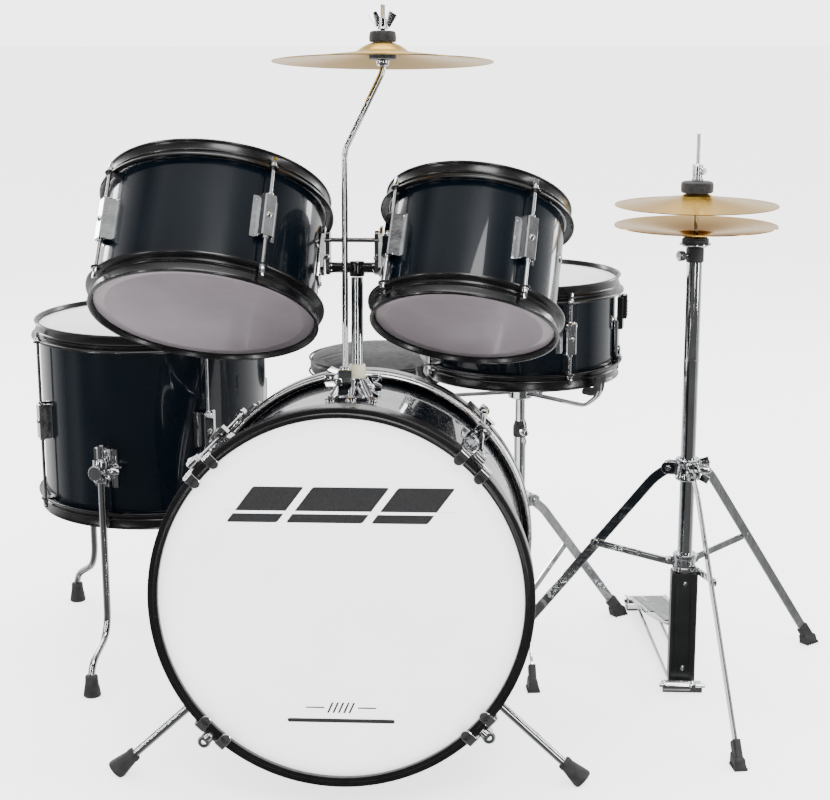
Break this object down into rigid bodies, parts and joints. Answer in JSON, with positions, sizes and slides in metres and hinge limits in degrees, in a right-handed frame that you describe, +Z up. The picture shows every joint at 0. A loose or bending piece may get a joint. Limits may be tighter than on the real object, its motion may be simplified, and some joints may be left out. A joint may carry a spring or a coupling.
{
  "type": "acoustic drum kit",
  "caption": "Small acoustic drum kit: bass drum with rack toms and crash on its holder, floor tom, snare on its stand, hi-hat with pedal, bass pedal and round throne.",
  "frame": {"origin": "on the floor, below the middle of the whole set's bounding box", "axes": "+Z up; the front of the bass drum faces -Y; +X is to the right when seen from the front"},
  "size_m": [1.1033, 1.067, 0.884],
  "materials": {
    "shell": "deep gloss navy wrap",
    "bass_hoop": "black gloss",
    "hoop": "black semi-gloss enamel",
    "head": "coated white film",
    "resonant_head": "smoky translucent film",
    "cymbal": "lathed and brushed",
    "felt": "black wool felt",
    "black_steel": "black satin enamel",
    "vinyl": "black vinyl",
    "chrome": "bright polished plate"
  },
  "bodies": {
    "bass_drum": {"bass_shell": "shell", "bass_front_hoop": "bass_hoop", "bass_front_head": "head", "bass_batter_head": "bass_hoop", "bass_mount": "chrome", "pedal_frame": "chrome"},
    "spur_left": {"spur_left": "chrome"},
    "spur_right": {"spur_right": "chrome"},
    "holder_post": {"tom_post": "chrome"},
    "holder_bar": {"tom_crossbar": "black_steel"},
    "left_tom": {"left_tom_shell": "shell", "left_tom_top_hoop": "hoop", "left_tom_batter_head": "head", "left_tom_bottom_hoop": "hoop", "left_tom_bottom_head": "resonant_head"},
    "right_tom": {"right_tom_shell": "shell", "right_tom_top_hoop": "hoop", "right_tom_batter_head": "head", "right_tom_bottom_hoop": "hoop", "right_tom_bottom_head": "resonant_head"},
    "crash_arm": {"crash_arm": "chrome"},
    "crash_seat": {"crash_felts": "felt"},
    "crash": {"crash_cymbal": "cymbal"},
    "floor_tom": {"floor_tom_shell": "shell", "floor_tom_top_hoop": "hoop", "floor_tom_batter_head": "head", "floor_tom_bottom_hoop": "hoop"},
    "floor_tom_leg_front": {"floor_tom_leg_front": "chrome"},
    "floor_tom_leg_left": {"floor_tom_leg_left": "chrome"},
    "floor_tom_leg_right": {"floor_tom_leg_right": "chrome"},
    "snare_stand": {"snare_stand_tube": "chrome"},
    "snare_basket": {"snare_basket": "chrome"},
    "snare": {"snare_shell": "shell", "snare_top_hoop": "hoop", "snare_batter_head": "head", "snare_bottom_hoop": "hoop"},
    "snare_lever": {"snare_throw_off": "black_steel"},
    "snare_stand_collar": {"snare_stand_collar": "chrome"},
    "snare_stand_leg_a": {"snare_stand_leg_a": "chrome"},
    "snare_stand_brace_a": {"snare_stand_brace_a": "chrome"},
    "snare_stand_leg_b": {"snare_stand_leg_b": "chrome"},
    "snare_stand_brace_b": {"snare_stand_brace_b": "chrome"},
    "snare_stand_leg_c": {"snare_stand_leg_c": "chrome"},
    "snare_stand_brace_c": {"snare_stand_brace_c": "chrome"},
    "hihat_stand": {"hihat_frame": "chrome"},
    "hihat_collar": {"hihat_collar": "chrome"},
    "hihat_leg_a": {"hihat_leg_a": "chrome"},
    "hihat_brace_a": {"hihat_brace_a": "chrome"},
    "hihat_leg_b": {"hihat_leg_b": "chrome"},
    "hihat_brace_b": {"hihat_brace_b": "chrome"},
    "hihat_leg_c": {"hihat_leg_c": "chrome"},
    "hihat_brace_c": {"hihat_brace_c": "chrome"},
    "hihat_rod": {"hihat_pull_rod": "chrome"},
    "hat_top": {"hihat_top_cymbal": "cymbal"},
    "hat_bottom": {"hihat_bottom_cymbal": "cymbal"},
    "hihat_board": {"hihat_footboard": "chrome"},
    "throne": {"throne_base": "chrome"},
    "throne_cushion": {"throne_seat": "vinyl"},
    "pedal_board": {"pedal_footboard": "chrome"},
    "beater": {"pedal_beater": "chrome"}
  },
  "joints": [
    {"name": "spur_left_slide", "type": "slide", "parent": "bass_drum", "child": "spur_left", "axis": [-0.7473, -0.1183, -0.6539], "range_m": [-0.03, 0.03]},
    {"name": "spur_right_slide", "type": "slide", "parent": "bass_drum", "child": "spur_right", "axis": [0.7473, -0.1183, -0.6539], "range_m": [-0.03, 0.03]},
    {"name": "tom_post_height", "type": "slide", "parent": "bass_drum", "child": "holder_post", "axis": [0, 0.0837, 0.9965], "range_m": [-0.01, 0.05]},
    {"name": "tom_holder_swivel", "type": "hinge", "parent": "holder_post", "child": "holder_bar", "pos_m": [-0.0698, -0.3144, 0.58348], "axis": [0, 0.0837, 0.9965], "range_deg": [-4, 4]},
    {"name": "left_tom_tilt", "type": "hinge", "parent": "holder_bar", "child": "left_tom", "pos_m": [-0.0748, -0.31172, 0.61537], "axis": [1, 0, 0], "range_deg": [-12, 12]},
    {"name": "right_tom_tilt", "type": "hinge", "parent": "holder_bar", "child": "right_tom", "pos_m": [-0.0748, -0.31172, 0.61537], "axis": [1, 0, 0], "range_deg": [-12, 12]},
    {"name": "crash_arm_swivel", "type": "hinge", "parent": "bass_drum", "child": "crash_arm", "pos_m": [-0.0823, -0.34238, 0.45337], "axis": [0, 0.0837, 0.9965], "range_deg": [-40, 40]},
    {"name": "crash_rock", "type": "hinge", "parent": "crash_arm", "child": "crash_seat", "pos_m": [-0.0388, -0.3035, 0.838], "axis": [1, 0, 0], "range_deg": [-6, 6], "stiffness_Nm_per_rad": 2},
    {"name": "crash_spin", "type": "hinge", "parent": "crash_seat", "child": "crash", "pos_m": [-0.0388, -0.3035, 0.838], "axis": [0, 0.1045, 0.9945], "continuous": true},
    {"name": "floor_tom_lift", "type": "slide", "parent": "bass_drum", "child": "floor_tom", "axis": [0, 0, 1], "range_m": [0, 0.05]},
    {"name": "floor_tom_leg_front_slide", "type": "slide", "parent": "floor_tom", "child": "floor_tom_leg_front", "axis": [0, 0, 1], "range_m": [-0.04, 0.05]},
    {"name": "floor_tom_leg_left_slide", "type": "slide", "parent": "floor_tom", "child": "floor_tom_leg_left", "axis": [0, 0, 1], "range_m": [-0.04, 0.05]},
    {"name": "floor_tom_leg_right_slide", "type": "slide", "parent": "floor_tom", "child": "floor_tom_leg_right", "axis": [0, 0, 1], "range_m": [-0.04, 0.05]},
    {"name": "snare_stand_lift", "type": "slide", "parent": "bass_drum", "child": "snare_stand", "axis": [0, 0, 1], "range_m": [0, 0.05]},
    {"name": "snare_basket_tilt", "type": "hinge", "parent": "snare_stand", "child": "snare_basket", "pos_m": [0.1252, 0.0145, 0.3538], "axis": [1, 0, 0], "range_deg": [-9, 9]},
    {"name": "snare_lift", "type": "slide", "parent": "snare_basket", "child": "snare", "axis": [0, 0, 1], "range_m": [0, 0.06]},
    {"name": "snare_lever_turn", "type": "hinge", "parent": "snare", "child": "snare_lever", "pos_m": [0.25829, -0.00421, 0.458], "axis": [0.1392, 0.9903, 0], "range_deg": [0, 55]},
    {"name": "snare_stand_collar_slide", "type": "slide", "parent": "snare_stand", "child": "snare_stand_collar", "axis": [0, 0, 1], "range_m": [0, 0.03]},
    {"name": "snare_stand_leg_a_fold", "type": "hinge", "parent": "snare_stand_collar", "child": "snare_stand_leg_a", "pos_m": [0.14219, 0.02684, 0.205], "axis": [-0.5878, 0.809, 0], "range_deg": [0, 14.91]},
    {"name": "snare_stand_brace_a_fold", "type": "hinge", "parent": "snare_stand", "child": "snare_stand_brace_a", "pos_m": [0.14259, 0.02714, 0.06], "axis": [-0.5878, 0.809, 0], "range_deg": [-16.18, 0]},
    {"name": "snare_stand_leg_b_fold", "type": "hinge", "parent": "snare_stand_collar", "child": "snare_stand_leg_b", "pos_m": [0.10602, 0.02304, 0.205], "axis": [-0.4067, -0.9135, 0], "range_deg": [0, 14.91]},
    {"name": "snare_stand_brace_b_fold", "type": "hinge", "parent": "snare_stand", "child": "snare_stand_brace_b", "pos_m": [0.10556, 0.02324, 0.06], "axis": [-0.4067, -0.9135, 0], "range_deg": [-16.18, 0]},
    {"name": "snare_stand_leg_c_fold", "type": "hinge", "parent": "snare_stand_collar", "child": "snare_stand_leg_c", "pos_m": [0.1274, -0.00639, 0.205], "axis": [0.9945, 0.1045, 0], "range_deg": [0, 14.91]},
    {"name": "snare_stand_brace_c_fold", "type": "hinge", "parent": "snare_stand", "child": "snare_stand_brace_c", "pos_m": [0.12745, -0.00688, 0.06], "axis": [0.9945, 0.1045, 0], "range_deg": [-16.18, 0]},
    {"name": "hihat_stand_lift", "type": "slide", "parent": "bass_drum", "child": "hihat_stand", "axis": [0, 0, 1], "range_m": [0, 0.04]},
    {"name": "hihat_collar_slide", "type": "slide", "parent": "hihat_stand", "child": "hihat_collar", "axis": [0, 0, 1], "range_m": [0, 0.03]},
    {"name": "hihat_leg_a_fold", "type": "hinge", "parent": "hihat_collar", "child": "hihat_leg_a", "pos_m": [0.34437, -0.16714, 0.298], "axis": [0.9848, 0.1736, 0], "range_deg": [0, 3.81]},
    {"name": "hihat_brace_a_fold", "type": "hinge", "parent": "hihat_stand", "child": "hihat_brace_a", "pos_m": [0.34411, -0.16566, 0.172], "axis": [0.9848, 0.1736, 0], "range_deg": [-15.63, 0]},
    {"name": "hihat_leg_b_fold", "type": "hinge", "parent": "hihat_collar", "child": "hihat_leg_b", "pos_m": [0.35858, -0.12807, 0.298], "axis": [-0.6428, 0.766, 0], "range_deg": [0, 3.81]},
    {"name": "hihat_brace_b_fold", "type": "hinge", "parent": "hihat_stand", "child": "hihat_brace_b", "pos_m": [0.35744, -0.12904, 0.172], "axis": [-0.6428, 0.766, 0], "range_deg": [-15.63, 0]},
    {"name": "hihat_leg_c_fold", "type": "hinge", "parent": "hihat_collar", "child": "hihat_leg_c", "pos_m": [0.31765, -0.13529, 0.298], "axis": [-0.342, -0.9397, 0], "range_deg": [0, 3.81]},
    {"name": "hihat_brace_c_fold", "type": "hinge", "parent": "hihat_stand", "child": "hihat_brace_c", "pos_m": [0.31906, -0.13581, 0.172], "axis": [-0.342, -0.9397, 0], "range_deg": [-15.63, 0]},
    {"name": "hihat_pedal_press", "type": "hinge", "parent": "hihat_stand", "child": "hihat_board", "pos_m": [0.3172, 0.1525, 0.014], "axis": [0.9962, 0.0871, 0], "range_deg": [0, 5], "stiffness_Nm_per_rad": 8, "springref_deg": -14.32},
    {"name": "hihat_rod_slide", "type": "slide", "parent": "hihat_stand", "child": "hihat_rod", "axis": [0, 0, 1], "range_m": [-0.0236, 0]},
    {"name": "hihat_bottom_spin", "type": "hinge", "parent": "hihat_stand", "child": "hat_bottom", "pos_m": [0.3402, -0.1435, 0.609], "axis": [0, 0, 1], "continuous": true},
    {"name": "hihat_top_spin", "type": "hinge", "parent": "hihat_rod", "child": "hat_top", "pos_m": [0.3402, -0.1435, 0.638], "axis": [0, 0, 1], "continuous": true},
    {"name": "throne_lift", "type": "slide", "parent": "bass_drum", "child": "throne", "axis": [0, 0, 1], "range_m": [0, 0.05]},
    {"name": "throne_seat_spin", "type": "hinge", "parent": "throne", "child": "throne_cushion", "pos_m": [-0.0928, 0.3495, 0.307], "axis": [0, 0, 1], "continuous": true},
    {"name": "bass_pedal_press", "type": "hinge", "parent": "bass_drum", "child": "pedal_board", "pos_m": [-0.0968, 0.1495, 0.018], "axis": [1, 0, 0], "range_deg": [0, 9], "stiffness_Nm_per_rad": 3, "springref_deg": -14.32},
    {"name": "bass_beater_swing", "type": "hinge", "parent": "bass_drum", "child": "beater", "pos_m": [-0.0968, -0.1065, 0.172], "axis": [1, 0, 0], "range_deg": [0, 30.5]}
  ],
  "couplings": [
    {"joint": "snare_stand_leg_a_fold", "follows": "snare_stand_collar_slide", "rad_per_m": 8.3857},
    {"joint": "snare_stand_brace_a_fold", "follows": "snare_stand_collar_slide", "rad_per_m": -9.12},
    {"joint": "snare_stand_leg_b_fold", "follows": "snare_stand_collar_slide", "rad_per_m": 8.3857},
    {"joint": "snare_stand_brace_b_fold", "follows": "snare_stand_collar_slide", "rad_per_m": -9.12},
    {"joint": "snare_stand_leg_c_fold", "follows": "snare_stand_collar_slide", "rad_per_m": 8.3857},
    {"joint": "snare_stand_brace_c_fold", "follows": "snare_stand_collar_slide", "rad_per_m": -9.12},
    {"joint": "hihat_leg_a_fold", "follows": "hihat_collar_slide", "rad_per_m": 1.9229},
    {"joint": "hihat_brace_a_fold", "follows": "hihat_collar_slide", "rad_per_m": -8.8044},
    {"joint": "hihat_leg_b_fold", "follows": "hihat_collar_slide", "rad_per_m": 1.9229},
    {"joint": "hihat_brace_b_fold", "follows": "hihat_collar_slide", "rad_per_m": -8.8044},
    {"joint": "hihat_leg_c_fold", "follows": "hihat_collar_slide", "rad_per_m": 1.9229},
    {"joint": "hihat_brace_c_fold", "follows": "hihat_collar_slide", "rad_per_m": -8.8044},
    {"joint": "hihat_rod_slide", "follows": "hihat_pedal_press", "m_per_rad": -0.264},
    {"joint": "bass_beater_swing", "follows": "bass_pedal_press", "ratio": 3.3333}
  ]
}
